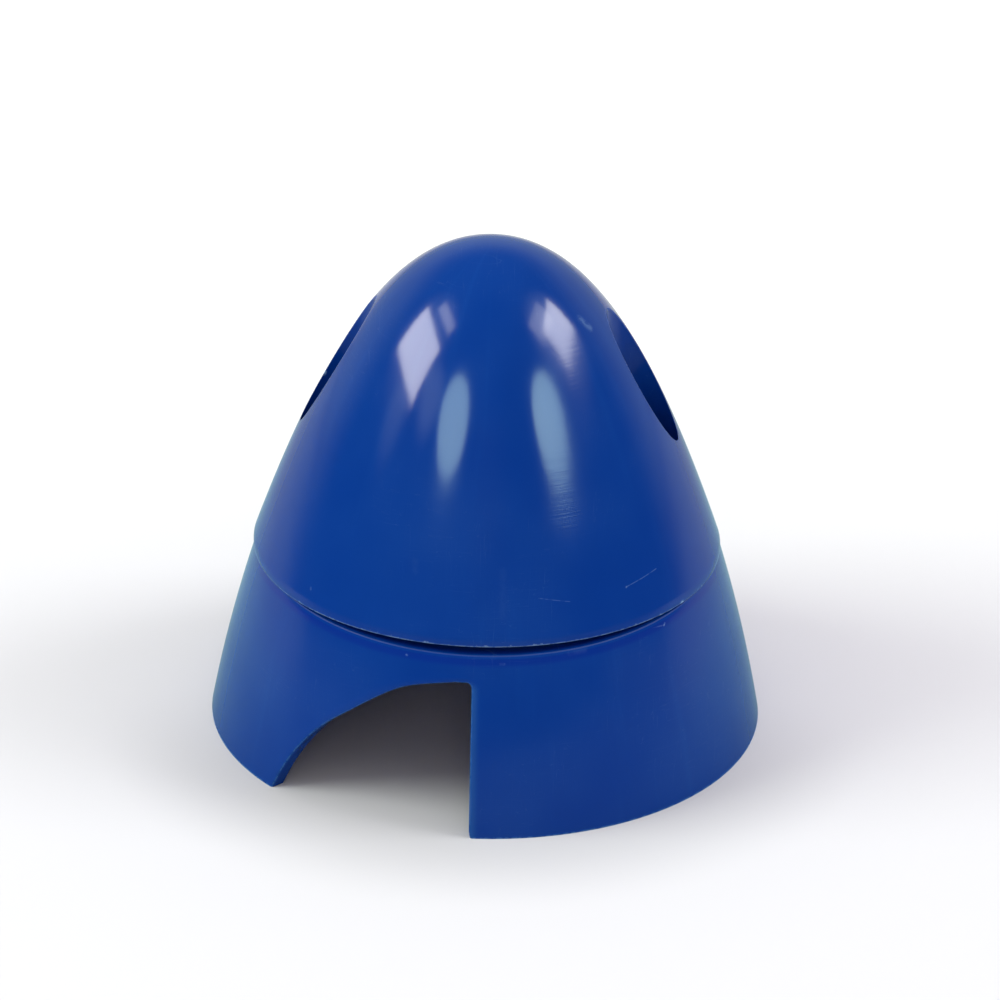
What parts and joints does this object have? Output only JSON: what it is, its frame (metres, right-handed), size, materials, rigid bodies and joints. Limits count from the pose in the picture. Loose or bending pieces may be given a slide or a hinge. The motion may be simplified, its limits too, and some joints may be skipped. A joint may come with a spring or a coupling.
{
  "type": "propeller spinner",
  "caption": "Blue plastic nose spinner for a two-blade model propeller: ogive nose cone with screw wells on a flared skirt with half-arch blade openings.",
  "frame": {"origin": "centre of the base rim circle, in the plane that the base rim stands on", "axes": "+Z along the shaft axis towards the nose tip; +X at 5 degrees from the right-hand screw; the front blade opening faces -Y"},
  "size_m": [0.057, 0.057, 0.052],
  "materials": {
    "shell": "moulded blue plastic, gloss with fine scratches and whitened edges",
    "screw": "plain zinc-plated steel"
  },
  "bodies": {
    "root": {"nose_cone": "shell", "blade_skirt": "shell", "screw_right": "screw", "screw_left": "screw"}
  },
  "joints": []
}
